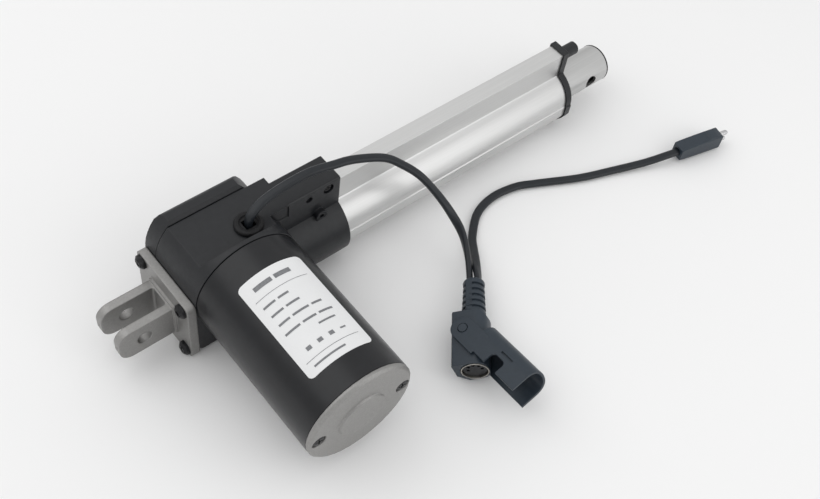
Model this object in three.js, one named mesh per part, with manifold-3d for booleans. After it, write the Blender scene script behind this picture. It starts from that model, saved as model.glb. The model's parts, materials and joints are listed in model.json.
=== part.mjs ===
// A recliner-type linear actuator, in millimetres.
// The rear clevis pin is the origin: X runs along the stroke to the rod end,
// the motor hangs off towards -Y and +Z is up.
import * as THREE from "three";
import { mergeVertices } from "three/addons/utils/BufferGeometryUtils.js";
import Module from "manifold-3d";

const wasm = await Module();
wasm.setup();

// ---------------------------------------------------------------- dimensions
const STROKE = 150;                     // travel of the rod
const PIN_TO_PIN = 330;                 // rear pin to rod pin, rod drawn in
const PIN_HOLE_R = 4.3;                 // clearance for an M8 pin

const FLANGE_X0 = 18.8;                 // clevis flange
const FLANGE_X1 = 23.8;
const FLANGE_W = 48;                    // along Y
const FLANGE_H = 45;                    // along Z
const EAR_IN = 6.3;                     // half of the fork gap
const EAR_OUT = 11.25;
const EAR_HALF_H = 10.65;
const EAR_TIP_X = -14.7;
const FLANGE_SCREW_Y = 18.8;
const FLANGE_SCREW_Z = 17.8;

const MOTOR_X = 55.8;                   // motor axis, parallel to Y
const MOTOR_Z = 19.6;
const MOTOR_R = 31.5;
const CAN_Y0 = -23.5;
const CAN_Y1 = -116.1;
const CAP_Y1 = -119.1;
const MOTOR_SCREW_R = 25.5;             // pitch radius of the two end-cap screws
const LABEL_Y0 = -101.5;                // the label's two ends along the can
const LABEL_Y1 = -40.5;

const HOUSING_R = 31.9;                 // gear housing collar around the motor axis
const HOUSING_TOP = 41.5;
const HOUSING_Y0 = -23.2;
const HOUSING_SPLIT = 13.8;             // joint between the housing and its cover
const HOUSING_FAR = 24;
const HOUSING_BOTTOM = -20.5;
const SLEEVE_R = 22;                    // sleeve that grips the tube
const SLEEVE_HALF_W = 9.2;
const SLEEVE_X1 = 125.3;
const CLAMP_SCREW_Z = 36.4;             // clamp screw above the switch channel

const TUBE_R = 17.4;                    // barrel of the extrusion
const TUBE_SIDE = 18;                   // half width across its straight lower sides
const TUBE_BORE = 15.4;
const CHANNEL_HALF_W = 5.2;             // switch channel above the barrel
const CHANNEL_TOP = 33.8;
const TUBE_X0 = 92.5;
const TUBE_X1 = 302;

const ROD_R = 12;
const ROD_BORE = 9.9;
const ROD_X0 = 112;
const ROD_X1 = 344.5;

const WORM_R = 5.1;
const WHEEL_R = 14.2;                   // WORM_R + WHEEL_R + 0.3 = MOTOR_Z
const WHEEL_X0 = 50;
const WHEEL_X1 = 61.6;

const FLOOR_Z = -22.5;                  // what the flange and the cables lie on
const MAIN_CABLE_R = 2.2;
const BRANCH_CABLE_R = 2.2;
const GROMMET = [67, -8];               // x, y of the cable exit

const PLUG_ANGLE = -131.4;              // direction of the DIN connector on the floor
const PLUG_ROLL = 26;                   // how far it leans over onto its left edge
const PLUG_ORIGIN = [152.8, -98.8, FLOOR_Z + 13.1];   // rear face of its body
const PLUG_H = 16.9;                    // height of the connector body
const PLUG_W = 20.6;
const PLUG_LEN = 34;
const PIVOT = [12.1, -3.4];             // lock clip pivot, in the connector's frame
const SOCKET_Y = 0.6;                   // the round socket sits a little off centre
const PIVOT_R = 2.6;                     // pivot pin
const CLIP_OPEN = 38;                   // how far the clip stands open, degrees
const CLIP_LEN = 49.6;                  // pivot to the clip's open end

// ---------------------------------------------------------------- materials
function material(color, roughness, metalness) {
  return new THREE.MeshStandardMaterial({ color, roughness, metalness });
}
const MAT = {
  castAlloy: material(0x9a9b99, 0.5, 0.85),
  blackPlastic: material(0x202327, 0.55, 0),
  blackPaint: material(0x14161a, 0.32, 0.2),
  extrusion: material(0xc9cacb, 0.34, 0.95),
  rod: material(0xc4c5c4, 0.25, 0.95),
  steel: material(0xb2b4b6, 0.3, 0.95),
  blackScrew: material(0x1a1a1c, 0.35, 0.8),
  cable: material(0x1c2126, 0.5, 0),
  rubber: material(0x17191c, 0.75, 0),
  connector: material(0x2b3238, 0.5, 0),
  acetal: material(0xe6e4dc, 0.45, 0),
  brass: material(0xb08d4c, 0.3, 0.9),
  ferrite: material(0x3a3a3d, 0.8, 0.1),
  copper: material(0xb56a3c, 0.35, 0.9),
  board: material(0x1f6b3f, 0.5, 0),
  paper: material(0xe9eaec, 0.6, 0),
  nickel: material(0xb9b4a8, 0.3, 0.95),
};

// ---------------------------------------------------------------- solids
function signedVolume(geometry) {
  const pos = geometry.attributes.position;
  const index = geometry.index;
  const a = new THREE.Vector3();
  const b = new THREE.Vector3();
  const c = new THREE.Vector3();
  let volume = 0;
  for (let i = 0; i < index.count; i += 3) {
    a.fromBufferAttribute(pos, index.getX(i));
    b.fromBufferAttribute(pos, index.getX(i + 1));
    c.fromBufferAttribute(pos, index.getX(i + 2));
    volume += a.dot(b.cross(c)) / 6;
  }
  return volume;
}

// A closed three.js geometry as a manifold solid, its faces turned outward.
function solid(geometry) {
  let g = geometry.clone();
  g.deleteAttribute("normal");
  g.deleteAttribute("uv");
  g = mergeVertices(g, 1e-4);
  const tris = Array.from(g.index.array);
  const kept = [];
  for (let i = 0; i < tris.length; i += 3) {
    const [p, q, r] = [tris[i], tris[i + 1], tris[i + 2]];
    if (p !== q && q !== r && r !== p) kept.push(p, q, r);
  }
  g.setIndex(kept);
  if (signedVolume(g) < 0) {
    for (let i = 0; i < kept.length; i += 3) {
      [kept[i + 1], kept[i + 2]] = [kept[i + 2], kept[i + 1]];
    }
  }
  return new wasm.Manifold(new wasm.Mesh({
    numProp: 3,
    vertProperties: Float32Array.from(g.attributes.position.array),
    triVerts: Uint32Array.from(kept),
  }));
}

function geometryOf(manifold) {
  const m = manifold.getMesh();
  const g = new THREE.BufferGeometry();
  g.setAttribute("position", new THREE.BufferAttribute(Float32Array.from(m.vertProperties), 3));
  g.setIndex(Array.from(m.triVerts));
  g.computeVertexNormals();
  return g;
}

function join(...solids) {
  return solids.reduce((a, b) => a.add(b));
}

function cut(body, ...tools) {
  return tools.reduce((a, b) => a.subtract(b), body);
}

function box(x0, x1, y0, y1, z0, z1) {
  const g = new THREE.BoxGeometry(Math.abs(x1 - x0), Math.abs(y1 - y0), Math.abs(z1 - z0));
  g.translate((x0 + x1) / 2, (y0 + y1) / 2, (z0 + z1) / 2);
  return solid(g);
}

const TO_X = new THREE.Matrix4().makeBasis(
  new THREE.Vector3(0, 1, 0), new THREE.Vector3(0, 0, 1), new THREE.Vector3(1, 0, 0));
const TO_Y = new THREE.Matrix4().makeBasis(
  new THREE.Vector3(1, 0, 0), new THREE.Vector3(0, 0, 1), new THREE.Vector3(0, -1, 0));

// Prisms: a flat outline pushed from a to b along one axis.
// prismX takes (y, z), prismY takes (x, z), prismZ takes (x, y).
function prismGeometry(shape, depth, curveSegments) {
  return new THREE.ExtrudeGeometry(shape, { depth, bevelEnabled: false, curveSegments });
}
function prismX(shape, a, b, curveSegments = 10) {
  const g = prismGeometry(shape, b - a, curveSegments);
  g.applyMatrix4(TO_X);
  g.translate(a, 0, 0);
  return solid(g);
}
function prismY(shape, a, b, curveSegments = 10) {
  const g = prismGeometry(shape, b - a, curveSegments);
  g.applyMatrix4(TO_Y);
  g.translate(0, b, 0);
  return solid(g);
}
function prismZ(shape, a, b, curveSegments = 10) {
  const g = prismGeometry(shape, b - a, curveSegments);
  g.translate(0, 0, a);
  return solid(g);
}

// Round bars: profile rows are [position along the axis, radius].
function turned(axis, rows, c1, c2, segments) {
  const points = rows.map(([a, r]) => new THREE.Vector2(r, a));
  const g = new THREE.LatheGeometry(points, segments);
  if (axis === "x") {
    g.rotateZ(-Math.PI / 2);
    g.translate(0, c1, c2);
  } else if (axis === "y") {
    g.translate(c1, 0, c2);
  } else {
    g.rotateX(Math.PI / 2);
    g.translate(c1, c2, 0);
  }
  return solid(g);
}
function bar(axis, r, a, b, c1, c2, segments = 32) {
  return turned(axis, [[a, 0], [a, r], [b, r], [b, 0]], c1, c2, segments);
}
function ring(axis, rOut, rIn, a, b, c1, c2, segments = 32) {
  return turned(axis, [[a, rIn], [a, rOut], [b, rOut], [b, rIn], [a, rIn]], c1, c2, segments);
}

function polygon(points) {
  return new THREE.Shape(points.map(([x, y]) => new THREE.Vector2(x, y)));
}

function roundedRect(x0, x1, y0, y1, r) {
  const s = new THREE.Shape();
  s.moveTo(x0 + r, y0);
  s.lineTo(x1 - r, y0);
  s.absarc(x1 - r, y0 + r, r, -Math.PI / 2, 0, false);
  s.lineTo(x1, y1 - r);
  s.absarc(x1 - r, y1 - r, r, 0, Math.PI / 2, false);
  s.lineTo(x0 + r, y1);
  s.absarc(x0 + r, y1 - r, r, Math.PI / 2, Math.PI, false);
  s.lineTo(x0, y0 + r);
  s.absarc(x0 + r, y0 + r, r, Math.PI, Math.PI * 1.5, false);
  return s;
}

// A round barrel with an upright channel on top, as (y, z).
function keyhole(radius, halfWidth, top, corner = 0.6) {
  const open = Math.acos(halfWidth / radius);
  const s = new THREE.Shape();
  s.moveTo(halfWidth, radius * Math.sin(open));
  s.lineTo(halfWidth, top - corner);
  s.lineTo(halfWidth - corner, top);
  s.lineTo(-halfWidth + corner, top);
  s.lineTo(-halfWidth, top - corner);
  s.lineTo(-halfWidth, radius * Math.sin(open));
  s.absarc(0, 0, radius, Math.PI - open, 2 * Math.PI + open, false);
  return s;
}

// ---------------------------------------------------------------- scene graph
const actuator = new THREE.Group();

function addTo(group, name, manifold, mat) {
  const mesh = new THREE.Mesh(geometryOf(manifold), mat);
  mesh.name = name;
  group.add(mesh);
  return mesh;
}
function add(name, manifold, mat) {
  return addTo(actuator, name, manifold, mat);
}

// ---------------------------------------------------------------- rear clevis
function earShape() {
  const r = EAR_HALF_H - 3;
  const s = new THREE.Shape();
  s.moveTo(FLANGE_X0 + 0.5, -EAR_HALF_H);
  s.lineTo(FLANGE_X0 + 0.5, EAR_HALF_H);
  s.lineTo(EAR_TIP_X + r, EAR_HALF_H);
  s.absarc(EAR_TIP_X + r, EAR_HALF_H - r, r, Math.PI / 2, Math.PI, false);
  s.lineTo(EAR_TIP_X, -EAR_HALF_H + r);
  s.absarc(EAR_TIP_X + r, -EAR_HALF_H + r, r, Math.PI, Math.PI * 1.5, false);
  return s;
}

function flangeScrewSpots() {
  const spots = [];
  for (const sy of [-1, 1]) {
    for (const sz of [-1, 1]) spots.push([sy * FLANGE_SCREW_Y, sz * FLANGE_SCREW_Z]);
  }
  return spots;
}

function rearClevis() {
  const plate = prismX(
    roundedRect(-FLANGE_W / 2, FLANGE_W / 2, -FLANGE_H / 2, FLANGE_H / 2, 3),
    FLANGE_X0, FLANGE_X1, 4);
  const pad = prismX(roundedRect(-12.6, 12.6, -12, 12, 2.5), FLANGE_X0 - 1.4, FLANGE_X0 + 0.5, 3);
  const ears = join(
    prismY(earShape(), EAR_IN, EAR_OUT, 5),
    prismY(earShape(), -EAR_OUT, -EAR_IN, 5));
  const root = box(13.4, FLANGE_X0 + 0.5, -EAR_IN - 0.5, EAR_IN + 0.5, -EAR_HALF_H, EAR_HALF_H);
  const slot = prismZ(roundedRect(-30, 16.6, -EAR_IN, EAR_IN, 1.4), -14, 14, 4);
  const spigot = bar("x", 14.5, FLANGE_X1 - 0.5, 34, 0, 0, 30);
  let clevis = join(cut(join(ears, root, pad), slot), plate, spigot);
  clevis = cut(clevis,
    bar("y", PIN_HOLE_R, -20, 20, 0, 0, 20),
    bar("x", 11.3, 26, 35, 0, 0, 24),
    bar("x", 5, 22.5, 27, 0, 0, 12));
  for (const [y, z] of flangeScrewSpots()) {
    clevis = cut(clevis, bar("x", 2.1, 17, 25, y, z, 8));
  }
  for (const side of [-1, 1]) {
    clevis = cut(clevis, bar("x", 0.8, EAR_TIP_X - 1, EAR_TIP_X + 1.2, side * 8.8, 0, 8));
  }
  return clevis;
}
add("rear_clevis", rearClevis(), MAT.castAlloy);

// Pan-head screw along an axis. `out` is -1 when the head faces the low end.
function crossScrew(axis, headR, headH, shankR, face, out, length, c1, c2) {
  const dome = [
    [face, 0], [face, headR], [face + out * headH * 0.55, headR],
    [face + out * headH, headR * 0.6], [face + out * headH, 0]];
  const rows = out > 0 ? dome : dome.reverse();
  const head = turned(axis, rows, c1, c2, 10);
  const tip = face - out * length;
  const shank = bar(axis, shankR, Math.min(tip, face + out * 0.3),
    Math.max(tip, face + out * 0.3), c1, c2, 6);
  const arm = headR * 0.55;
  const slotW = headR * 0.11;
  const deep = [face + out * headH * 0.45, face + out * (headH + 1)].sort((p, q) => p - q);
  const span = (along, across) => {
    if (axis === "x") return box(deep[0], deep[1], c1 - along, c1 + along, c2 - across, c2 + across);
    return box(c1 - along, c1 + along, deep[0], deep[1], c2 - across, c2 + across);
  };
  return cut(join(head, shank), span(arm, slotW), span(slotW, arm));
}

flangeScrewSpots().forEach(([y, z], i) => {
  const screw = crossScrew("x", 4.3, 3, 1.75, FLANGE_X0, -1, 14, y, z);
  add(`clevis_screw_${i + 1}`, screw, MAT.blackScrew);
});

// ---------------------------------------------------------------- gear housing
function collar(y0, y1, radius) {
  return bar("y", radius, y0, y1, MOTOR_X, MOTOR_Z, 48);
}
function lowerBlock(y0, y1, x1) {
  return prismY(roundedRect(FLANGE_X1, x1, HOUSING_BOTTOM, MOTOR_Z + 2, 4), y0, y1, 4);
}

// The extrusion's outline, grown by a clearance: a round top with the switch
// channel above it, straight sides below a small ledge, and a flat bottom.
function tubeOutline(grow) {
  const r = TUBE_R + grow;
  const w = CHANNEL_HALF_W + grow;
  const side = TUBE_SIDE + grow;
  const open = Math.acos((w + 0.9) / r);
  const shoulder = r * Math.sin(open);
  const right = [[w, CHANNEL_TOP + grow], [w, shoulder + 0.9], [w + 0.9, shoulder]];
  const steps = 9;
  for (let i = 1; i <= steps; i += 1) {
    const a = open * (1 - i / steps);
    right.push([r * Math.cos(a), r * Math.sin(a)]);
  }
  right.push([side, -0.6], [side, -7.5], [side - 1.8, -11.5]);
  right.push([11.8 + grow * 0.5, -17.1 - grow * 0.8], [9.5, -17.6 - grow]);
  const left = right.map(([y, z]) => [-y, z]).reverse();
  return polygon([...right, ...left]);
}

function gearHousing() {
  const flatCut = prismX(polygon([
    [-21.6, 53], [-15.8, HOUSING_TOP], [30, HOUSING_TOP], [30, 70], [-21.6, 70]]), 10, 100);
  const shell = cut(collar(HOUSING_Y0, HOUSING_SPLIT, HOUSING_R), flatCut);
  const lower = lowerBlock(HOUSING_Y0, HOUSING_SPLIT, 87.5);
  const shelf = box(70, 91.3, -SLEEVE_HALF_W, 13.4, -19, HOUSING_TOP);
  const sleeve = prismX(keyhole(SLEEVE_R, SLEEVE_HALF_W, HOUSING_TOP, 0.8), 70, SLEEVE_X1, 28);
  const boss = bar("y", 3.6, -12.4, -5, 111.5, 20.6, 18);
  let body = join(shell, lower, shelf, sleeve, boss);
  body = cut(body, box(0, FLANGE_X1, -60, 60, -60, 60), box(0, 88, HOUSING_SPLIT, 60, -60, 60));
  const [gx, gy] = GROMMET;
  body = cut(body,
    prismX(tubeOutline(0.3), 92.2, 130),
    bar("x", 18.6, 40, 76, 0, 0, 28),
    box(40, 76, 0, 20, -17, 17),
    bar("y", 9, -30, 10, MOTOR_X, MOTOR_Z, 20),
    bar("x", 9.5, 70, 95, 0, 0, 20),
    bar("x", 14.9, 20, 45, 0, 0, 28),
    bar("z", 5.9, 14, 50, gx, gy, 20),
    box(79.4, 91.4, -12, -SLEEVE_HALF_W + 0.6, 31.6, 40.4),
    bar("y", 3.3, -12, -7.1, 117.6, CLAMP_SCREW_Z, 16),
    bar("y", 1.75, -12, 12, 117.6, CLAMP_SCREW_Z, 8),
    bar("y", 2.1, -12, -7.4, 104.9, 35.8, 12),
    bar("y", 1.5, -20, -10.4, 111.5, 20.6, 8));
  for (const sz of [-1, 1]) {
    body = cut(body, bar("x", 2.1, 20, 35, -FLANGE_SCREW_Y, sz * FLANGE_SCREW_Z, 8));
  }
  for (const [x, z] of coverScrewSpots()) {
    body = cut(body, bar("y", 1.8, 5, 20, x, z, 8));
  }
  return body;
}

function coverScrewSpots() {
  return [[36.6, -16.8], [82, -15.6], [34.5, 30], [77, 30]];
}

function housingCover() {
  const y0 = HOUSING_SPLIT + 0.3;
  const top = HOUSING_TOP + 2;
  const flatCut = box(0, 120, 0, 40, top, 80);
  const disc = cut(collar(y0, HOUSING_FAR, HOUSING_R), flatCut);
  let cover = join(disc, lowerBlock(y0, HOUSING_FAR, 87.5));
  const roundEdge = prismX(polygon([
    [HOUSING_FAR - 4, top + 0.2], [HOUSING_FAR - 1.3, top - 1.2],
    [HOUSING_FAR + 0.1, top - 4.2], [HOUSING_FAR + 5, top - 4], [HOUSING_FAR + 5, top + 5]]), 0, 100);
  const nearSlope = prismX(polygon([
    [y0 - 1, HOUSING_TOP + 0.3], [y0, HOUSING_TOP + 0.3], [y0 + 1.7, top], [y0 + 1.7, top + 5],
    [y0 - 1, top + 5]]), 0, 100);
  cover = cut(cover, roundEdge, nearSlope,
    box(0, FLANGE_X1, -60, 60, -60, 60),
    box(42, 74, 0, 20.5, -15, 15),
    bar("x", 14.9, 20, 34.4, 0, 0, 28));
  for (const sz of [-1, 1]) {
    cover = cut(cover, bar("x", 2.1, 20, 35, FLANGE_SCREW_Y, sz * FLANGE_SCREW_Z, 8));
  }
  for (const [x, z] of coverScrewSpots()) {
    cover = cut(cover, bar("y", 1.8, 10, 30, x, z, 8), bar("y", 3.6, 22, 30, x, z, 12));
  }
  return cover;
}

add("gear_housing", gearHousing(), MAT.blackPlastic);
add("housing_cover", housingCover(), MAT.blackPlastic);
coverScrewSpots().forEach(([x, z], i) => {
  add(`cover_screw_${i + 1}`, crossScrew("y", 3.2, 1.9, 1.5, 22, 1, 16, x, z), MAT.blackScrew);
});
add("clamp_screw", crossScrew("y", 3, 1.6, 1.4, -7.1, -1, 13, 117.6, CLAMP_SCREW_Z), MAT.blackScrew);

// ---------------------------------------------------------------- cable grommet
function cableGrommet() {
  const [gx, gy] = GROMMET;
  const body = turned("z", [
    [36, 0], [36, 5.6], [HOUSING_TOP, 5.6], [HOUSING_TOP, 7.6], [HOUSING_TOP + 1, 8],
    [HOUSING_TOP + 2.1, 7.5], [HOUSING_TOP + 2.6, 6.4], [HOUSING_TOP + 2.3, 5.2],
    [HOUSING_TOP + 1.5, 4.6], [HOUSING_TOP + 1.5, 0]], gx, gy, 28);
  const r = MAIN_CABLE_R + 0.7;
  return cut(body, box(gx - r, gx + r, gy - r, gy + r, 30, 50));
}
add("cable_grommet", cableGrommet(), MAT.rubber);

// ---------------------------------------------------------------- motor
function motorCan() {
  const tube = ring("y", MOTOR_R, MOTOR_R - 2, CAN_Y1, CAN_Y0 - 1, MOTOR_X, MOTOR_Z, 48);
  const front = ring("y", MOTOR_R, 9, CAN_Y0 - 2, CAN_Y0, MOTOR_X, MOTOR_Z, 48);
  return join(tube, front);
}

function motorEndCap() {
  const r = MOTOR_R;
  const disc = turned("y", [
    [CAP_Y1 - 1.2, 0], [CAP_Y1 - 1.2, 13.4], [CAP_Y1 - 0.1, 14], [CAP_Y1, r - 1.6],
    [CAP_Y1 + 1.4, r], [CAN_Y1 - 0.1, r], [CAN_Y1 - 0.1, r - 2.4], [CAN_Y1 + 3, r - 2.4],
    [CAN_Y1 + 3, r - 5], [CAN_Y1 - 0.3, r - 5], [CAN_Y1 - 0.3, 0]], MOTOR_X, MOTOR_Z, 36);
  const seat = ring("y", 9, 7.3, CAN_Y1 - 0.6, CAN_Y1 + 6, MOTOR_X, MOTOR_Z, 20);
  let cap = join(disc, seat);
  for (const s of [-1, 1]) {
    const x = MOTOR_X + s * MOTOR_SCREW_R;
    cap = cut(cap,
      bar("y", 4.2, CAP_Y1 - 3, CAP_Y1 + 1.5, x, MOTOR_Z, 14),
      bar("y", 2.1, CAP_Y1 - 3, CAN_Y1 + 5, x, MOTOR_Z, 8));
  }
  return cap;
}

function magnet(side) {
  const half = THREE.MathUtils.degToRad(62);
  const mid = side > 0 ? 0 : Math.PI;
  const s = new THREE.Shape();
  s.absarc(MOTOR_X, MOTOR_Z, MOTOR_R - 2.3, mid - half, mid + half, false);
  s.absarc(MOTOR_X, MOTOR_Z, 24.4, mid + half, mid - half, true);
  return prismY(s, -95, -40, 14);
}

function armatureCore() {
  const slots = 10;
  const s = new THREE.Shape();
  for (let i = 0; i < slots; i += 1) {
    const step = (2 * Math.PI) / slots;
    const rows = [[-0.42, 23.6], [-0.14, 23.9], [0.14, 23.9], [0.42, 23.6], [0.44, 16], [0.56, 16]];
    rows.forEach(([f, r], k) => {
      const a = step * (i + f);
      const x = MOTOR_X + r * Math.cos(a);
      const z = MOTOR_Z + r * Math.sin(a);
      if (i === 0 && k === 0) s.moveTo(x, z);
      else s.lineTo(x, z);
    });
  }
  const bore = bar("y", 3.3, -100, -30, MOTOR_X, MOTOR_Z, 20);
  return cut(prismY(s, -90, -46), bore);
}

function armatureShaft() {
  const rows = [[-113, 0], [-113, 3], [-19, 3], [-19, WORM_R - 1.1]];
  const pitch = 3.14;
  for (let y = -10; y < 5; y += pitch) {
    rows.push([y, WORM_R - 1.1], [y + pitch * 0.3, WORM_R]);
    rows.push([y + pitch * 0.7, WORM_R], [y + pitch * 0.99, WORM_R - 1.1]);
  }
  rows.push([8.8, WORM_R - 1.1], [8.8, 0]);
  return turned("y", rows, MOTOR_X, MOTOR_Z, 14);
}

function commutator() {
  const tube = ring("y", 8.4, 3.3, -108, -95, MOTOR_X, MOTOR_Z, 20);
  let body = tube;
  for (let i = 0; i < 5; i += 1) {
    const g = new THREE.BoxGeometry(20, 15, 0.5);
    g.translate(15.4, -101.5, 0);
    g.rotateY((i * 2 * Math.PI) / 5);
    g.translate(MOTOR_X, 0, MOTOR_Z);
    body = cut(body, solid(g));
  }
  return body;
}

add("motor_can", motorCan(), MAT.blackPaint);
add("motor_end_cap", motorEndCap(), MAT.castAlloy);
[-1, 1].forEach((s, i) => {
  const x = MOTOR_X + s * MOTOR_SCREW_R;
  add(`motor_screw_${i + 1}`,
    crossScrew("y", 3.7, 1.4, 1.75, CAP_Y1 + 1.5, -1, 4.3, x, MOTOR_Z), MAT.blackScrew);
});
add("magnet_1", magnet(1), MAT.ferrite);
add("magnet_2", magnet(-1), MAT.ferrite);
add("armature_core", armatureCore(), MAT.copper);
add("armature_shaft", armatureShaft(), MAT.steel);
add("commutator", commutator(), MAT.copper);
add("front_motor_bearing", ring("y", 8.7, 3.3, -30.5, -23.5, MOTOR_X, MOTOR_Z, 20), MAT.steel);
add("rear_motor_bearing", ring("y", 7, 3.3, -114.5, -110.6, MOTOR_X, MOTOR_Z, 16), MAT.brass);
add("brush_holder", cut(
  ring("y", MOTOR_R - 5.4, 9.4, -104.2, -100.6, MOTOR_X, MOTOR_Z, 24),
  box(MOTOR_X - 19, MOTOR_X + 19, -105, -100, MOTOR_Z - 2.8, MOTOR_Z + 2.8)), MAT.acetal);
add("brush_1", box(MOTOR_X + 8.7, MOTOR_X + 18.7, -104.2, -100.6, MOTOR_Z - 2.5, MOTOR_Z + 2.5),
  MAT.ferrite);
add("brush_2", box(MOTOR_X - 18.7, MOTOR_X - 8.7, -104.2, -100.6, MOTOR_Z - 2.5, MOTOR_Z + 2.5),
  MAT.ferrite);

function motorLabel() {
  const a0 = THREE.MathUtils.degToRad(54);
  const a1 = THREE.MathUtils.degToRad(125);
  const s = new THREE.Shape();
  s.absarc(MOTOR_X, MOTOR_Z, MOTOR_R + 0.25, a0, a1, false);
  s.absarc(MOTOR_X, MOTOR_Z, MOTOR_R + 0.08, a1, a0, true);
  const corners = prismZ(
    roundedRect(MOTOR_X - 18.2, MOTOR_X + 18.6, LABEL_Y0, LABEL_Y1, 2.6), 30, 60, 5);
  return prismY(s, LABEL_Y0, LABEL_Y1, 16).intersect(corners);
}
add("motor_label", motorLabel(), MAT.paper);

// ---------------------------------------------------------------- outer tube
function outerTube() {
  return cut(prismX(tubeOutline(0), TUBE_X0, TUBE_X1),
    bar("x", TUBE_BORE, TUBE_X0 - 5, TUBE_X1 + 5, 0, 0, 36),
    box(TUBE_X0 - 5, TUBE_X1 + 5, -3.7, 3.7, 19.6, CHANNEL_TOP - 1.5),
    box(TUBE_X0 - 5, TUBE_X1 + 5, -1.5, 1.5, 10, 22));
}

function tubeEndCap() {
  const skirt = prismX(tubeOutline(1), 300.4, 304.8);
  const pocket = prismX(tubeOutline(0.3), 290, TUBE_X1 + 0.3);
  const tab = prismX(roundedRect(-5, 2.8, 26, 33.8, 3.4), 304, 315, 6);
  return cut(join(cut(skirt, pocket), tab),
    bar("x", ROD_R + 0.35, 290, 320, 0, 0, 32));
}

add("outer_tube", outerTube(), MAT.extrusion);
add("tube_end_cap", tubeEndCap(), MAT.blackPlastic);
add("rod_guide_bush", ring("x", TUBE_BORE - 0.3, ROD_R + 0.25, 284, 300, 0, 0, 24), MAT.acetal);
add("rod_wiper", ring("x", TUBE_BORE - 0.3, ROD_R + 0.2, 300.3, 302, 0, 0, 24), MAT.rubber);

// ---------------------------------------------------------------- spindle drive
function wormWheel() {
  const teeth = 30;
  const s = new THREE.Shape();
  for (let i = 0; i < teeth; i += 1) {
    const step = (2 * Math.PI) / teeth;
    [[-0.3, WHEEL_R - 1.2], [-0.14, WHEEL_R], [0.14, WHEEL_R], [0.3, WHEEL_R - 1.2]]
      .forEach(([f, r], k) => {
        const a = step * (i + f);
        if (i === 0 && k === 0) s.moveTo(r * Math.cos(a), r * Math.sin(a));
        else s.lineTo(r * Math.cos(a), r * Math.sin(a));
      });
  }
  return cut(prismX(s, WHEEL_X0, WHEEL_X1), bar("x", 5.3, 40, 70, 0, 0, 16));
}

add("worm_wheel", wormWheel(), MAT.acetal);
add("lead_screw", turned("x", [
  [24.4, 0], [24.4, 3.8], [34, 3.8], [34, 5], [286, 5], [288, 3.8], [291, 3.8], [291, 0]],
  0, 0, 16), MAT.steel);
add("rear_thrust_bearing", ring("x", 11, 4.1, 26.3, 33.3, 0, 0, 24), MAT.steel);
add("front_screw_bush", ring("x", 9.2, 5.3, 78, 90, 0, 0, 20), MAT.brass);
add("drive_nut", turned("x", [
  [96, 5.3], [96, TUBE_BORE - 0.3], [ROD_X0 - 0.3, TUBE_BORE - 0.3], [ROD_X0 - 0.3, ROD_BORE - 0.3],
  [124, ROD_BORE - 0.3], [124, 5.3], [96, 5.3]], 0, 0, 24), MAT.acetal);

function innerRod() {
  const tube = ring("x", ROD_R, ROD_BORE, ROD_X0, ROD_X1, 0, 0, 36);
  return cut(tube,
    bar("y", PIN_HOLE_R, -20, 20, PIN_TO_PIN, 0, 24));
}
add("inner_rod", innerRod(), MAT.rod);
add("rod_end_plug", turned("x", [
  [ROD_X1 - 6, 6.5], [ROD_X1 - 6, ROD_BORE - 0.3], [ROD_X1 + 0.1, ROD_BORE - 0.3],
  [ROD_X1 + 0.1, ROD_R + 0.2], [ROD_X1 + 0.8, ROD_R], [ROD_X1 + 0.8, 6.5],
  [ROD_X1 - 6, 6.5]], 0, 0, 28), MAT.rubber);

// ---------------------------------------------------------------- limit switches
add("limit_switch_board", box(120, 292, -3.3, -2.1, 20.4, 31.4), MAT.board);
add("limit_switch_1", box(128, 141, -1.8, 3.2, 20.6, 27), MAT.blackPlastic);
add("limit_switch_2", box(276, 289, -1.8, 3.2, 20.6, 27), MAT.blackPlastic);

// ---------------------------------------------------------------- DIN connector
const plug = new THREE.Group();
plug.position.set(...PLUG_ORIGIN);
plug.rotation.order = "ZYX";
plug.rotation.z = THREE.MathUtils.degToRad(PLUG_ANGLE);
plug.rotation.x = THREE.MathUtils.degToRad(PLUG_ROLL);
actuator.add(plug);

function connectorBoot() {
  const rows = [[-23, 0], [-23, 5.8], [-22, 6.3]];
  const ribs = 5;
  for (let i = 0; i < ribs; i += 1) {
    const x = -20 + i * 3.9;
    const r = 6.1 + i * 0.16;
    rows.push([x, r], [x + 0.3, r - 1.3], [x + 1.5, r - 1.3], [x + 1.8, r]);
  }
  rows.push([-0.3, 6.9], [-0.3, 0]);
  const hub = turned("x", rows, 0, 0, 16);
  const spine = box(-22, -0.4, -3, 0.6, 0, 6);
  const hole = prismX(roundedRect(-4.8, 4.8, -2.6, 2.6, 2.3), -30, -13, 3);
  return cut(join(hub, spine), hole);
}

// Cross-section of the connector body: square on the left, rounded on the right.
function bodySection(right) {
  const w = PLUG_W / 2;
  const h = PLUG_H / 2;
  const run = right - 2;
  const round = [[2, h], [2 + run * 0.45, h * 0.93], [2 + run * 0.76, h * 0.74],
    [2 + run * 0.94, h * 0.42], [right, 0]];
  const under = round.slice(0, -1).map(([y, z]) => [y, -z]).reverse();
  return polygon([...round, ...under, [-w + 5.5, -h], [-w, -h + 5.5], [-w, h - 0.8], [-w + 0.8, h]]);
}

function connectorBody() {
  const w = PLUG_W / 2;
  const half = PLUG_H / 2;
  const corners = prismZ(polygon([
    [1.2, -w - 1], [PLUG_LEN + 1, -w - 1], [PLUG_LEN + 1, w + 1], [6, w + 1], [0, w - 5],
    [0, -w + 0.6]]), -half - 1, half + 1);
  const block = join(
    prismX(bodySection(w - 1.2), 0, 20),
    prismX(bodySection(w - 1.6), 0, PLUG_LEN)).intersect(corners);
  return cut(block,
    bar("x", 7.95, PLUG_LEN - 9, PLUG_LEN + 3, SOCKET_Y, 0, 24),
    bar("z", PIVOT_R + 0.3, -20, 20, PIVOT[0], PIVOT[1], 16));
}

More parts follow.
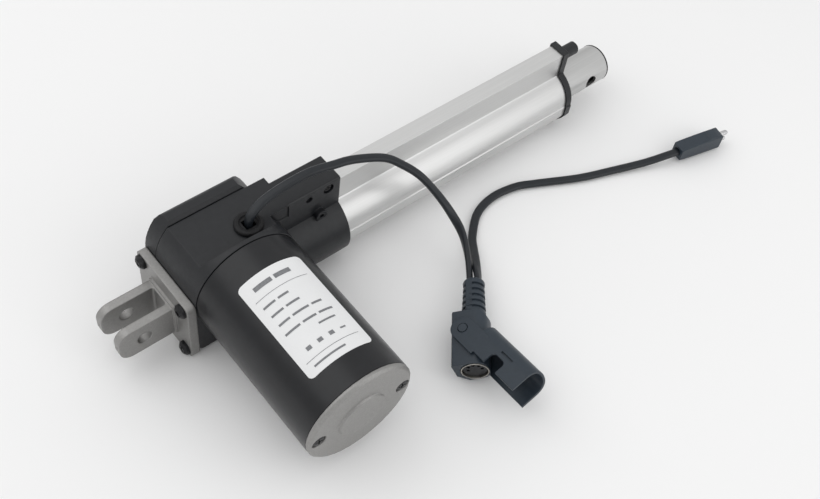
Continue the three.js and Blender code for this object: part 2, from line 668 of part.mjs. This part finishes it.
function socketInsert() {
  let face = bar("x", 6.8, PLUG_LEN - 8.7, PLUG_LEN - 0.9, SOCKET_Y, 0, 24);
  for (let i = 0; i < 5; i += 1) {
    const a = Math.PI * (-0.5 + i / 4);
    const y = SOCKET_Y + 4 * Math.sin(a);
    face = cut(face, bar("x", 1, PLUG_LEN - 6, PLUG_LEN, y, 4 * Math.cos(a), 8));
  }
  return face;
}

// The clip in its closed direction, its pivot at the origin: two arms that
// straddle the body and a bent shell that closes around the mating plug.
function lockClip() {
  const gap = PLUG_H / 2 + 0.25;
  const t = 1.4;
  const outer = gap + t;
  const inY = 12.2;
  const open = -5;
  const outY = inY + t;
  const bend = new THREE.Shape();
  bend.moveTo(open, outer);
  bend.lineTo(inY - 8, outer);
  bend.quadraticCurveTo(outY, outer, outY, 0);
  bend.quadraticCurveTo(outY, -outer, inY - 8, -outer);
  bend.lineTo(open, -outer);
  bend.lineTo(open, -gap);
  bend.lineTo(inY - 8, -gap);
  bend.quadraticCurveTo(inY, -gap, inY, 0);
  bend.quadraticCurveTo(inY, gap, inY - 8, gap);
  bend.lineTo(open, gap);
  const sleeve = prismX(bend, 10, CLIP_LEN, 8);
  const disc = (r) => {
    const arm = new THREE.Shape();
    arm.absarc(0, 0, r, Math.PI / 2, Math.PI * 1.5, false);
    arm.lineTo(16, -r);
    arm.lineTo(16, r);
    return arm;
  };
  const arms = join(prismZ(disc(6.8), gap, outer, 12), prismZ(disc(5.6), -outer, -gap, 10));
  const notch = prismZ(roundedRect(25, 35, -14, 2.4, 2.6), gap - 1, outer + 1, 4);
  const slit = box(28, 37, 5, 6, outer - 1.2, outer + 1);
  const low = box(9, 16.4, -8, -5.6, -outer - 1, -gap + 1);
  return cut(join(sleeve, arms), notch, slit, low,
    bar("z", PIVOT_R + 0.3, -20, 20, 0, 0, 16));
}

addTo(plug, "connector_boot", connectorBoot(), MAT.connector);
addTo(plug, "connector_body", connectorBody(), MAT.connector);
addTo(plug, "socket_shell",
  ring("x", 7.7, 7.1, PLUG_LEN - 8.7, PLUG_LEN + 0.4, SOCKET_Y, 0, 28), MAT.nickel);
addTo(plug, "socket_insert", socketInsert(), MAT.blackPlastic);

const clipPivot = new THREE.Group();
clipPivot.position.set(PIVOT[0], PIVOT[1], 0);
clipPivot.rotation.z = THREE.MathUtils.degToRad(CLIP_OPEN);
plug.add(clipPivot);
addTo(clipPivot, "lock_clip", lockClip(), MAT.connector);
addTo(clipPivot, "clip_pivot_pin",
  bar("z", PIVOT_R, -PLUG_H / 2 - 1.7, PLUG_H / 2 + 1.9, 0, 0, 20), MAT.connector);

// ---------------------------------------------------------------- small plug
const AUX_PIN_R = 1.6;
const AUX_PIN_Y = 2.6;
const auxPlug = new THREE.Group();
auxPlug.position.set(347.5, -79, FLOOR_Z + 7);
auxPlug.rotation.order = "ZYX";
auxPlug.rotation.z = THREE.MathUtils.degToRad(-12.5);
auxPlug.rotation.x = Math.PI / 2;       // it lies on edge, one pin above the other
actuator.add(auxPlug);

function auxBody() {
  const side = polygon([
    [0, -4.1], [3, -4.6], [22, -5.7], [23, -6.6], [28, -6.6], [32.5, -5.2], [32.5, 5.2], [28, 6.6],
    [23, 6.6], [22, 5.7], [3, 4.6], [0, 4.1]]);
  const block = prismZ(side, -4.4, 4.4);
  const bevel = prismX(roundedRect(-6.8, 6.8, -4.4, 4.4, 2.4), -1, 34, 4);
  return cut(block.intersect(bevel),
    bar("x", AUX_PIN_R + 0.3, 26, 34, -AUX_PIN_Y, 0, 10),
    bar("x", AUX_PIN_R + 0.3, 26, 34, AUX_PIN_Y, 0, 10),
    bar("x", BRANCH_CABLE_R + 0.5, -2, 5, 0, 0, 12));
}
addTo(auxPlug, "aux_plug", auxBody(), MAT.connector);
[-1, 1].forEach((s, i) => {
  addTo(auxPlug, `aux_pin_${i + 1}`,
    turned("x", [[26.4, 0], [26.4, AUX_PIN_R], [38.4, AUX_PIN_R], [39.4, 1], [39.4, 0]],
      s * AUX_PIN_Y, 0, 14),
    MAT.steel);
});

// ---------------------------------------------------------------- cables
// A round cable: centreline points, radius, sides and steps along it.
function cable(points, radius, sides, steps) {
  const path = new THREE.CatmullRomCurve3(points.map((p) => new THREE.Vector3(...p)));
  const round = [];
  for (let i = 0; i < sides; i += 1) {
    const a = (2 * Math.PI * i) / sides;
    round.push([radius * Math.cos(a), radius * Math.sin(a)]);
  }
  return solid(new THREE.ExtrudeGeometry(polygon(round), { steps, extrudePath: path }));
}

const MAIN_PATH = [
  [67, -8, 38], [67, -8, 44], [69.5, -7.3, 48], [76, -6, 51], [85, -5.5, 53], [96, -6, 55],
  [107, -7, 56], [119, -9, 55], [132, -11, 53], [149, -16, 48], [158, -22, 42], [166, -29, 34],
  [173, -37, 22], [178, -46, 10], [180.5, -55.5, -1.5], [175.5, -68, -9], [168.4, -77.9, -10.5],
  [160.8, -86.6, -10.5]];

const BRANCH_PATH = [
  [163.9, -89.3, -8.5], [171.6, -80.7, -8.5], [177.5, -73.5, -11], [183, -67, -14.5],
  [189, -59.5, -18], [196, -51, -20], [210, -40, -20.2], [226, -36, -20.2], [243, -38, -20.2],
  [256, -43.5, -20.2], [282, -56, -20.2], [304, -64, -20], [325, -72, -18.5],
  [340, -77.5, -15.7], [351, -80, -15.5]];

add("motor_cable", cable(MAIN_PATH, MAIN_CABLE_R, 8, 52), MAT.cable);
add("branch_cable", cable(BRANCH_PATH, BRANCH_CABLE_R, 8, 42), MAT.cable);

export default actuator;
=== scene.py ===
"""Looks for the linear actuator: materials, cables, label print, floor, light and camera.

Every length is in metres unless its name ends in _MM. The axes are the CAD model's: X along the
rod, Z up, the motor along -Y, and the origin at the rear clevis pin.
"""

import json
import math

import bpy
from mathutils import Matrix, Vector


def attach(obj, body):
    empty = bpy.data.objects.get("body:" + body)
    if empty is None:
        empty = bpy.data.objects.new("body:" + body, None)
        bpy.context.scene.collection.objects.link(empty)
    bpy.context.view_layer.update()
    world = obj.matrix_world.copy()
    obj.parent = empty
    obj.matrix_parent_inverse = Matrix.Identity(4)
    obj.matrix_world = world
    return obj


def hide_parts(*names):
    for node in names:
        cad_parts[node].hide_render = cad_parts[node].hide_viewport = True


MM = 0.001

# floor: its height, and half its width
FLOOR_Z = -22.5 * MM
FLOOR_HALF = 6.0

# camera
CAMERA_AT = Vector((-0.1192, -0.2904, 0.4891))
CAMERA_LOOK = Vector((0.4395, 0.3998, -0.8044))
CAMERA_UP = Vector((0.4669, 0.6634, 0.5847))
LENS_MM = 47.56
SENSOR_MM = 36.0

# flat twin cable, which lies flat but enters the leaning boot on edge
TWIN_WIDTH = 5.2 * MM
TWIN_HEIGHT = 3.4 * MM
TWIN_WAIST = 2.3 * MM
TWIN_SIDES = 24
STEPS_PER_POINT = 8
BOOT_LEAN = math.radians(26)
MAIN_TURN = math.radians(90) + BOOT_LEAN
BRANCH_TURN = math.radians(90) - BOOT_LEAN
TURN_SHARE = 0.22       # the share of a cable's path over which it turns
MAIN_TURN_START = 0.7   # where along its path the main lead starts to turn
LEVEL_ENOUGH = 0.5      # a path this far from upright gives the cable's side direction

# light: the world's strength at the horizon and high up, and two soft boxes
WALL_LIGHT = 0.6
CEILING_LIGHT = 0.9
CEILING_FROM = 0.9      # the height in a view direction where the ceiling's strength starts
LIT_POINT = Vector((0.12, -0.03, 0))
KEY_OFFSET = Vector((-0.44, 0.46, 0.89))
KEY_SIZE = (1.1, 1.1)
KEY_WATTS = 2.6
SIDE_OFFSET = Vector((0.44, -0.79, 0.43))
SIDE_SIZE = (0.5, 1.0)
SIDE_WATTS = 1.6

# motor can and its label's print
MOTOR_X = 55.8 * MM
MOTOR_Z = 19.6 * MM
LABEL_R = 31.75 * MM
PRINT_LIFT = 0.1 * MM
PRINT_STEPS = 24

# edges of the CAD nodes
WELD_GAP = 1e-6
FLAT_ANGLE = math.radians(1)
BEVEL_ANGLE = math.radians(40)
BEVEL_SEGMENTS = 2
SMOOTH_ANGLE = math.radians(36)

MAIN_CABLE_MM = [
    (67, -8, 38), (67, -8, 44), (69.5, -7.3, 48), (76, -6, 51), (85, -5.5, 53), (96, -6, 55),
    (107, -7, 56), (119, -9, 55), (132, -11, 53), (149, -16, 48), (158, -22, 42), (166, -29, 34),
    (173, -37, 22), (178, -46, 10), (180.5, -55.5, -1.5), (175.5, -68, -9),
    (168.4, -77.9, -10.5), (160.8, -86.6, -10.5)]
BRANCH_CABLE_MM = [
    (163.9, -89.3, -8.5), (171.6, -80.7, -8.5), (177.5, -73.5, -11), (183, -67, -14.5),
    (189, -59.5, -18), (196, -51, -20), (210, -40, -20.2), (226, -36, -20.2),
    (243, -38, -20.2), (256, -43.5, -20.2), (282, -56, -20.2), (304, -64, -20),
    (325, -72, -18.5), (340, -77.5, -15.7), (351, -80, -15.5)]

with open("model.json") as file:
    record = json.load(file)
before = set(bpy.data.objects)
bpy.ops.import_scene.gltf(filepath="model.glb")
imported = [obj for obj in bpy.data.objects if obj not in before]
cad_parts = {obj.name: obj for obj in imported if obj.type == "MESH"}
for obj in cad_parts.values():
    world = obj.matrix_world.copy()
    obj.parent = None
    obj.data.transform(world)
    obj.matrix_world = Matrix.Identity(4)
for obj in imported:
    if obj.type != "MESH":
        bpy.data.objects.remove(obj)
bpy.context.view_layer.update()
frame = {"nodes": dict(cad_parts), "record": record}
nodes = frame["nodes"]


# ---------------------------------------------------------------- camera
def make_camera():
    data = bpy.data.cameras.new("camera")
    data.lens = LENS_MM
    data.sensor_width = SENSOR_MM
    data.clip_start = 0.01
    data.clip_end = 20
    camera = bpy.data.objects.new("camera", data)
    bpy.context.scene.collection.objects.link(camera)
    back = -CAMERA_LOOK.normalized()
    right = CAMERA_UP.cross(back).normalized()
    up = back.cross(right)
    turn = Matrix((right, up, back)).transposed()
    camera.matrix_world = Matrix.Translation(CAMERA_AT) @ turn.to_4x4()
    bpy.context.scene.camera = camera


# ---------------------------------------------------------------- node helpers
# The parts of a noise's range that are stretched over a roughness and over a colour mix
NOISE_MIDDLE = (0.3, 0.7)
COLOUR_MIDDLE = (0.35, 0.7)
FINE_DETAIL = 4
EDGE_SAMPLES = 8


class Look:
    """A material with one Principled shader and helpers for its procedural nodes."""

    def __init__(self, name, colour, metallic=0.0, roughness=0.5):
        self.material = bpy.data.materials.new(name)
        self.material.use_nodes = True
        self.tree = self.material.node_tree
        self.tree.nodes.clear()
        self.out = self.tree.nodes.new("ShaderNodeOutputMaterial")
        self.shader = self.tree.nodes.new("ShaderNodeBsdfPrincipled")
        self.link(self.shader, "BSDF", self.out, "Surface")
        self.shader.inputs["Base Color"].default_value = (*colour, 1)
        self.shader.inputs["Metallic"].default_value = metallic
        self.shader.inputs["Roughness"].default_value = roughness
        self.colour = colour
        self.place = self.tree.nodes.new("ShaderNodeTexCoord")

    def link(self, a, out, b, into):
        self.tree.links.new(a.outputs[out], b.inputs[into])

    def mapped(self, stretch):
        node = self.tree.nodes.new("ShaderNodeMapping")
        node.inputs["Scale"].default_value = stretch
        self.link(self.place, "Object", node, "Vector")
        return node

    def noise(self, scale, detail, stretch):
        node = self.tree.nodes.new("ShaderNodeTexNoise")
        node.inputs["Scale"].default_value = scale
        node.inputs["Detail"].default_value = detail
        self.link(self.mapped(stretch), "Vector", node, "Vector")
        return node

    def spread(self, noise, middle, low, high):
        """A noise's middle range stretched over low to high."""
        made = self.tree.nodes.new("ShaderNodeMapRange")
        made.inputs["From Min"].default_value = middle[0]
        made.inputs["From Max"].default_value = middle[1]
        made.inputs["To Min"].default_value = low
        made.inputs["To Max"].default_value = high
        self.link(noise, "Fac", made, "Value")
        return made

    def vary_roughness(self, low, high, scale, stretch=(1, 1, 1)):
        noise = self.noise(scale, FINE_DETAIL, stretch)
        amount = self.spread(noise, NOISE_MIDDLE, low, high)
        self.link(amount, "Result", self.shader, "Roughness")

    def vary_colour(self, other, scale, stretch=(1, 1, 1)):
        """Mixes the look's own colour with another in fine patches."""
        mix = self.tree.nodes.new("ShaderNodeMix")
        mix.data_type = "RGBA"
        mix.inputs["A"].default_value = (*self.colour, 1)
        mix.inputs["B"].default_value = (*other, 1)
        noise = self.noise(scale, FINE_DETAIL, stretch)
        amount = self.spread(noise, COLOUR_MIDDLE, 0, 1)
        self.tree.links.new(amount.outputs["Result"], mix.inputs["Factor"])
        self.tree.links.new(mix.outputs["Result"], self.shader.inputs["Base Color"])

    def bump(self, depth, scale, detail, stretch=(1, 1, 1), edge=0.0):
        """Fine relief, and with an edge radius, sharp edges that shade as if rounded."""
        node = self.tree.nodes.new("ShaderNodeBump")
        node.inputs["Distance"].default_value = depth
        if edge:
            soft = self.tree.nodes.new("ShaderNodeBevel")
            soft.samples = EDGE_SAMPLES
            soft.inputs["Radius"].default_value = edge
            self.link(soft, "Normal", node, "Normal")
        self.link(self.noise(scale, detail, stretch), "Fac", node, "Height")
        self.link(node, "Normal", self.shader, "Normal")

    def set(self, **values):
        for name, value in values.items():
            self.shader.inputs[name.replace("_", " ")].default_value = value


# ---------------------------------------------------------------- materials
ALONG_X = (0.02, 1, 1)
ALONG_Y = (1, 0.02, 1)


def cast_alloy():
    look = Look("cast_alloy", (0.3, 0.295, 0.288), 0.75, 0.5)
    look.vary_colour((0.34, 0.335, 0.328), 900)
    look.vary_roughness(0.44, 0.54, 1200)
    look.bump(0.06 * MM, 2200, 3, edge=1.1 * MM)
    return look


def black_plastic():
    look = Look("black_plastic", (0.008, 0.009, 0.011), 0, 0.42)
    look.set(Specular_IOR_Level=0.42)
    look.vary_colour((0.011, 0.012, 0.0145), 300)
    look.vary_roughness(0.38, 0.46, 400)
    look.bump(0.04 * MM, 2600, 2, edge=0.7 * MM)
    return look


def black_paint():
    look = Look("black_paint", (0.004, 0.0045, 0.006), 0, 0.3)
    look.set(Specular_IOR_Level=0.42)
    look.vary_colour((0.006, 0.0065, 0.0085), 200)
    look.vary_roughness(0.28, 0.34, 250)
    look.bump(0.01 * MM, 900, 2)
    return look


def extrusion():
    look = Look("extrusion", (0.66, 0.66, 0.655), 1.0, 0.45)
    look.vary_colour((0.7, 0.7, 0.695), 1500, ALONG_X)
    look.vary_roughness(0.43, 0.47, 1500, ALONG_X)
    look.bump(0.004 * MM, 2500, 2, ALONG_X, edge=0.4 * MM)
    return look


def rod_metal():
    look = Look("rod_metal", (0.54, 0.54, 0.535), 1.0, 0.36)
    look.vary_colour((0.58, 0.58, 0.575), 1200, ALONG_X)
    look.vary_roughness(0.34, 0.38, 1500, ALONG_X)
    look.bump(0.003 * MM, 2500, 2, ALONG_X)
    return look


def steel():
    look = Look("steel", (0.52, 0.52, 0.53), 1.0, 0.3)
    look.vary_colour((0.6, 0.6, 0.6), 200)
    look.vary_roughness(0.22, 0.38, 500)
    look.bump(0.01 * MM, 2500, 2)
    return look


def black_screw():
    look = Look("black_screw", (0.012, 0.012, 0.013), 0.6, 0.35)
    look.vary_colour((0.03, 0.03, 0.032), 500)
    look.vary_roughness(0.28, 0.45, 700)
    look.bump(0.015 * MM, 3000, 2)
    return look


def cable_jacket():
    look = Look("cable_jacket", (0.008, 0.0105, 0.014), 0, 0.36)
    look.set(Specular_IOR_Level=0.4)
    look.vary_colour((0.011, 0.014, 0.018), 300)
    look.vary_roughness(0.32, 0.42, 300)
    look.bump(0.02 * MM, 2500, 2)
    return look


def soft_rubber():
    look = Look("soft_rubber", (0.005, 0.005, 0.006), 0, 0.55)
    look.set(Specular_IOR_Level=0.35)
    look.vary_colour((0.009, 0.009, 0.01), 150)
    look.vary_roughness(0.52, 0.72, 400)
    look.bump(0.04 * MM, 2200, 2)
    return look


def connector_plastic():
    look = Look("connector_plastic", (0.022, 0.032, 0.044), 0, 0.42)
    look.set(Specular_IOR_Level=0.4)
    look.vary_colour((0.027, 0.038, 0.051), 300)
    look.vary_roughness(0.38, 0.48, 300)
    look.bump(0.03 * MM, 2400, 2, edge=0.6 * MM)
    return look


def acetal():
    look = Look("acetal", (0.78, 0.77, 0.72), 0, 0.4)
    look.vary_colour((0.84, 0.83, 0.79), 120)
    look.vary_roughness(0.34, 0.48, 300)
    look.bump(0.01 * MM, 1500, 2)
    return look


def brass():
    look = Look("brass", (0.55, 0.4, 0.16), 1.0, 0.3)
    look.vary_colour((0.63, 0.47, 0.2), 250)
    look.vary_roughness(0.24, 0.4, 500)
    look.bump(0.01 * MM, 2500, 2)
    return look


def ferrite():
    look = Look("ferrite", (0.035, 0.035, 0.038), 0.1, 0.75)
    look.vary_colour((0.055, 0.055, 0.058), 300)
    look.vary_roughness(0.68, 0.85, 500)
    look.bump(0.05 * MM, 1800, 3)
    return look


def copper():
    look = Look("copper", (0.6, 0.24, 0.11), 1.0, 0.32)
    look.vary_colour((0.68, 0.3, 0.15), 300)
    look.vary_roughness(0.26, 0.42, 500)
    look.bump(0.02 * MM, 2000, 2)
    return look


def board():
    look = Look("board", (0.012, 0.11, 0.045), 0, 0.35)
    look.vary_colour((0.018, 0.14, 0.06), 150)
    look.vary_roughness(0.28, 0.44, 300)
    look.bump(0.02 * MM, 1500, 2)
    return look


def label_film():
    look = Look("label_film", (0.77, 0.775, 0.78), 0, 0.42)
    look.vary_colour((0.79, 0.795, 0.8), 60)
    look.vary_roughness(0.38, 0.48, 200)
    look.bump(0.01 * MM, 500, 2)
    return look


def nickel():
    look = Look("nickel", (0.42, 0.4, 0.37), 1.0, 0.32)
    look.vary_colour((0.5, 0.48, 0.44), 400)
    look.vary_roughness(0.25, 0.42, 500)
    look.bump(0.01 * MM, 2500, 2)
    return look


def label_ink():
    look = Look("label_ink", (0.16, 0.165, 0.175), 0, 0.5)
    look.vary_colour((0.22, 0.225, 0.235), 900)
    look.vary_roughness(0.45, 0.58, 300)
    return look


def floor_paper():
    look = Look("floor_paper", (0.9, 0.9, 0.9), 0, 0.8)
    look.vary_colour((0.91, 0.91, 0.91), 3)
    return look


SLOT_LOOKS = [
    cast_alloy, black_plastic, black_paint, extrusion, rod_metal, steel, black_screw,
    cable_jacket, soft_rubber, connector_plastic, acetal, brass, ferrite, copper, board,
    label_film, nickel]


# ---------------------------------------------------------------- CAD nodes
def smooth_group(name, limit):
    """A node group that shades a mesh smooth, but for edges sharper than limit."""
    tree = bpy.data.node_groups.new(name, "GeometryNodeTree")
    tree.interface.new_socket("Geometry", in_out="INPUT", socket_type="NodeSocketGeometry")
    tree.interface.new_socket("Geometry", in_out="OUTPUT", socket_type="NodeSocketGeometry")
    start = tree.nodes.new("NodeGroupInput")
    end = tree.nodes.new("NodeGroupOutput")
    faces = tree.nodes.new("GeometryNodeSetShadeSmooth")
    edges = tree.nodes.new("GeometryNodeSetShadeSmooth")
    edges.domain = "EDGE"
    edges.inputs["Shade Smooth"].default_value = False
    angle = tree.nodes.new("GeometryNodeInputMeshEdgeAngle")
    over = tree.nodes.new("FunctionNodeCompare")
    over.operation = "GREATER_THAN"
    over.inputs["B"].default_value = limit
    tree.links.new(start.outputs["Geometry"], faces.inputs["Geometry"])
    tree.links.new(faces.outputs["Geometry"], edges.inputs["Geometry"])
    tree.links.new(angle.outputs["Unsigned Angle"], over.inputs["A"])
    tree.links.new(over.outputs["Result"], edges.inputs["Selection"])
    tree.links.new(edges.outputs["Geometry"], end.inputs["Geometry"])
    return tree


def round_edges(node, radius, group):
    """Joins a CAD node's facets, rounds its sharp edges and shades it smooth. With no radius,
    only its shading changes."""
    weld = node.modifiers.new("weld", "WELD")
    weld.merge_threshold = WELD_GAP
    if radius:
        flat = node.modifiers.new("flat faces", "DECIMATE")
        flat.decimate_type = "DISSOLVE"
        flat.angle_limit = FLAT_ANGLE
        bevel = node.modifiers.new("edges", "BEVEL")
        bevel.width = radius
        bevel.segments = BEVEL_SEGMENTS
        bevel.limit_method = "ANGLE"
        bevel.angle_limit = BEVEL_ANGLE
        bevel.miter_outer = "MITER_ARC"
    smooth = node.modifiers.new("smooth", "NODES")
    smooth.node_group = group
    normals = node.modifiers.new("normals", "WEIGHTED_NORMAL")
    normals.keep_sharp = True


# The clevis has no radius, because its flange face breaks up when its facets are joined: its
# material's soft edges do the rounding.
EDGE_RADIUS_MM = {
    "rear_clevis": 0, "gear_housing": 0.45, "housing_cover": 0.6, "motor_end_cap": 0.4,
    "motor_can": 0.3, "tube_end_cap": 0.5, "outer_tube": 0.4, "inner_rod": 0.4,
    "connector_boot": 0.35, "connector_body": 0.6, "lock_clip": 0.45, "aux_plug": 0.8,
    "cable_grommet": 0.4, "aux_pin_1": 0.3, "aux_pin_2": 0.3}
DEFAULT_EDGE_MM = 0.15


def dress_cad_nodes():
    looks = {make.__name__: make().material for make in SLOT_LOOKS}
    group = smooth_group("smooth_by_angle", SMOOTH_ANGLE)
    for part in frame["record"]["subparts"]:
        node = nodes[part["node"]]
        node.data.materials.clear()
        node.data.materials.append(looks[part["material_slot"]])
        radius = EDGE_RADIUS_MM.get(part["node"], DEFAULT_EDGE_MM) * MM
        round_edges(node, radius, group)
    return looks


# ---------------------------------------------------------------- meshes
def new_mesh(name, verts, faces, material, smooth):
    data = bpy.data.meshes.new(name)
    data.from_pydata(verts, [], faces)
    data.materials.append(material)
    data.update()
    for face in data.polygons:
        face.use_smooth = smooth
    piece = bpy.data.objects.new(name, data)
    bpy.context.scene.collection.objects.link(piece)
    return piece


def curve_through(points, steps):
    """Points of a smooth curve through the given ones."""
    ends = [points[0] * 2 - points[1], *points, points[-1] * 2 - points[-2]]
    made = []
    for a, b, c, d in zip(ends, ends[1:], ends[2:], ends[3:]):
        for k in range(steps):
            t = k / steps
            made.append(0.5 * ((2 * b) + (c - a) * t + (2 * a - 5 * b + 4 * c - d) * t * t
                               + (3 * b - a - 3 * c + d) * t * t * t))
    made.append(points[-1])
    return made


def twin_section():
    """The outline of two round cores side by side with a waist between them, as (across, up)."""
    section = []
    core = TWIN_HEIGHT / 2
    middle = TWIN_WIDTH / 2 - core
    for i in range(TWIN_SIDES):
        a = 2 * math.pi * i / TWIN_SIDES
        across = core * math.cos(a) + math.copysign(middle, math.cos(a))
        up = core * math.sin(a)
        near = 1 - min(1, abs(across) / middle)
        section.append((across, up * (1 - near * (1 - TWIN_WAIST / TWIN_HEIGHT))))
    return section


def smoothstep(x):
    x = min(max(x, 0), 1)
    return x * x * (3 - 2 * x)


def tube_faces(rings, count):
    """The faces of a tube with closed ends, whose rings have count points each."""
    faces = []
    for i in range(rings - 1):
        for k in range(count):
            nxt = (k + 1) % count
            faces.append((i * count + k, i * count + nxt,
                          (i + 1) * count + nxt, (i + 1) * count + k))
    faces.append(tuple(reversed(range(count))))
    last = (rings - 1) * count
    faces.append(tuple(range(last, last + count)))
    return faces


def twin_cable(name, points_mm, material, roll):
    """A flat cable through the points. roll gives its turn about its own line, from 0 to 1
    along it: 0 lies flat, and a quarter turn stands on edge."""
    points = [Vector(p) * MM for p in points_mm]
    path = curve_through(points, STEPS_PER_POINT)
    section = twin_section()
    side = Vector((0, 1, 0))
    verts = []
    for i, at in enumerate(path):
        along = (path[min(i + 1, len(path) - 1)] - path[max(i - 1, 0)]).normalized()
        flat = Vector((0, 0, 1)).cross(along)
        if flat.length > LEVEL_ENOUGH:
            side = flat.normalized()
        side = (side - along * side.dot(along)).normalized()
        turned = Matrix.Rotation(roll(i / (len(path) - 1)), 3, along) @ side
        up = along.cross(turned)
        verts += [at + turned * across + up * high for across, high in section]
    faces = tube_faces(len(path), len(section))
    return new_mesh(name, verts, faces, material, smooth=True), path


def make_cables(jacket):
    main, main_path = twin_cable(
        "main_lead", MAIN_CABLE_MM, jacket,
        lambda s: MAIN_TURN * smoothstep((s - MAIN_TURN_START) / TURN_SHARE))
    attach(main, "housing")
    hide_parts("motor_cable")
    branch, branch_path = twin_cable(
        "branch_lead", BRANCH_CABLE_MM, jacket,
        lambda s: BRANCH_TURN * smoothstep(1 - s / TURN_SHARE))
    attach(branch, "housing")
    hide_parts("branch_cable")


# ---------------------------------------------------------------- label print
# Each bar: its place along the can and its height, in mm, and the two angles it spans, in degrees.
LABEL_BARS = [
    (-47, 2.6, 113, 94), (-47, 2.6, 91, 74), (-53, 0.25, 119, 62),
    (-58, 1.2, 117, 104), (-58, 1.2, 101, 90), (-64, 1.2, 116, 103), (-64, 1.2, 100, 86),
    (-70, 1.2, 116, 104), (-70, 1.2, 101, 84), (-70, 1.2, 81, 70),
    (-76, 1.2, 117, 101), (-76, 1.2, 98, 84), (-76, 1.2, 81, 66), (-81, 1, 88, 70),
    (-88.5, 2.2, 111, 106), (-88.5, 2.2, 99, 94), (-88.5, 2.2, 87, 82), (-88.5, 0.9, 75, 69),
    (-94, 0.25, 119, 62), (-97.5, 1, 115, 82)]


def label_bar(verts, faces, y0, y1, a0, a1):
    """Adds one printed bar: a thin strip bent round the motor can."""
    start = len(verts)
    r = LABEL_R + PRINT_LIFT
    for i in range(PRINT_STEPS + 1):
        a = math.radians(a0 + (a1 - a0) * i / PRINT_STEPS)
        x = MOTOR_X + r * math.cos(a)
        z = MOTOR_Z + r * math.sin(a)
        verts += [(x, y0 * MM, z), (x, y1 * MM, z)]
    for i in range(PRINT_STEPS):
        k = start + 2 * i
        faces.append((k, k + 2, k + 3, k + 1))


def make_label_print():
    verts, faces = [], []
    for y, height, a0, a1 in LABEL_BARS:
        label_bar(verts, faces, y - height / 2, y + height / 2, a0, a1)
    piece = new_mesh("label_print", verts, faces, label_ink().material, smooth=True)
    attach(piece, "housing")


# ---------------------------------------------------------------- floor and light
def make_floor():
    corners = [(-1, -1), (1, -1), (1, 1), (-1, 1)]
    verts = [(x * FLOOR_HALF, y * FLOOR_HALF, FLOOR_Z) for x, y in corners]
    floor = new_mesh("floor", verts, [(0, 1, 2, 3)], floor_paper().material, smooth=False)


def area_light(name, offset, size, watts):
    """A soft box at an offset from the lit point, turned towards it."""
    data = bpy.data.lights.new(name, "AREA")
    data.shape = "RECTANGLE"
    data.size = size[0]
    data.size_y = size[1]
    data.energy = watts
    light = bpy.data.objects.new(name, data)
    bpy.context.scene.collection.objects.link(light)
    light.location = LIT_POINT + offset
    light.rotation_mode = "QUATERNION"
    light.rotation_quaternion = (-offset).to_track_quat("-Z", "Y")


def make_world():
    """A white studio that is bright overhead and dimmer towards its walls."""
    world = bpy.data.worlds.new("studio")
    world.use_nodes = True
    tree = world.node_tree
    back = tree.nodes["Background"]
    back.inputs["Color"].default_value = (1, 1, 1, 1)
    where = tree.nodes.new("ShaderNodeTexCoord")
    split = tree.nodes.new("ShaderNodeSeparateXYZ")
    fade = tree.nodes.new("ShaderNodeMapRange")
    fade.inputs["From Min"].default_value = 0
    fade.inputs["From Max"].default_value = CEILING_FROM
    fade.inputs["To Min"].default_value = WALL_LIGHT
    fade.inputs["To Max"].default_value = CEILING_LIGHT
    tree.links.new(where.outputs["Generated"], split.inputs["Vector"])
    tree.links.new(split.outputs["Z"], fade.inputs["Value"])
    tree.links.new(fade.outputs["Result"], back.inputs["Strength"])
    bpy.context.scene.world = world


def make_light():
    bpy.context.scene.view_settings.view_transform = "Standard"
    make_world()
    area_light("key", KEY_OFFSET, KEY_SIZE, KEY_WATTS)
    area_light("side", SIDE_OFFSET, SIDE_SIZE, SIDE_WATTS)


# ---------------------------------------------------------------- scene
make_camera()
slot_looks = dress_cad_nodes()
make_cables(slot_looks["cable_jacket"])
make_label_print()
make_floor()
make_light()
